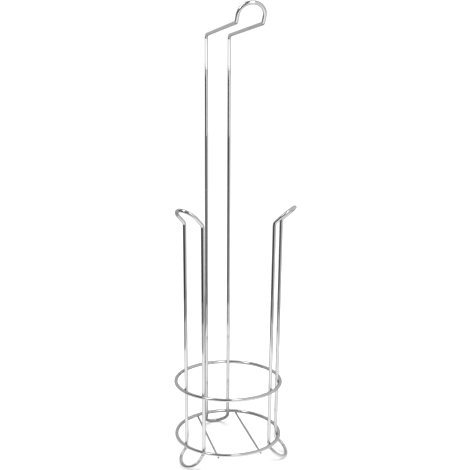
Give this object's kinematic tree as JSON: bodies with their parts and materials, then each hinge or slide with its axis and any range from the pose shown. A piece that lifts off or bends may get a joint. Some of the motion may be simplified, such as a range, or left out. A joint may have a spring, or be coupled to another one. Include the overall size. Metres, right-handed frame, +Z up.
{
  "type": "toilet roll stand",
  "caption": "Free-standing chromed wire stand: a tall looped mast with a level roll arm over a ringed basket for spare rolls.",
  "frame": {"origin": "on the floor, on the shared axis of the two basket rings", "axes": "+Z up; the mast stands at +Y and its arm reaches towards -Y; +X is to the right seen from the arm's end"},
  "size_m": [0.162, 0.1986, 0.6004],
  "materials": {
    "frame_wire": "bright chrome plate on drawn steel wire",
    "ring_wire": "bright chrome plate on drawn steel wire, rolled to a ring",
    "floor_wire": "bright chrome plate on thin drawn steel wire",
    "weld_bead": "chrome plate over a resistance weld, slightly uneven"
  },
  "bodies": {
    "root": {"mast_wire": "frame_wire", "left_guard_wire": "frame_wire", "right_guard_wire": "frame_wire", "lower_ring": "ring_wire", "upper_ring": "ring_wire", "left_floor_wire": "floor_wire", "right_floor_wire": "floor_wire", "lower_ring_welds": "weld_bead", "upper_ring_welds": "weld_bead", "floor_wire_welds": "weld_bead"}
  },
  "joints": []
}
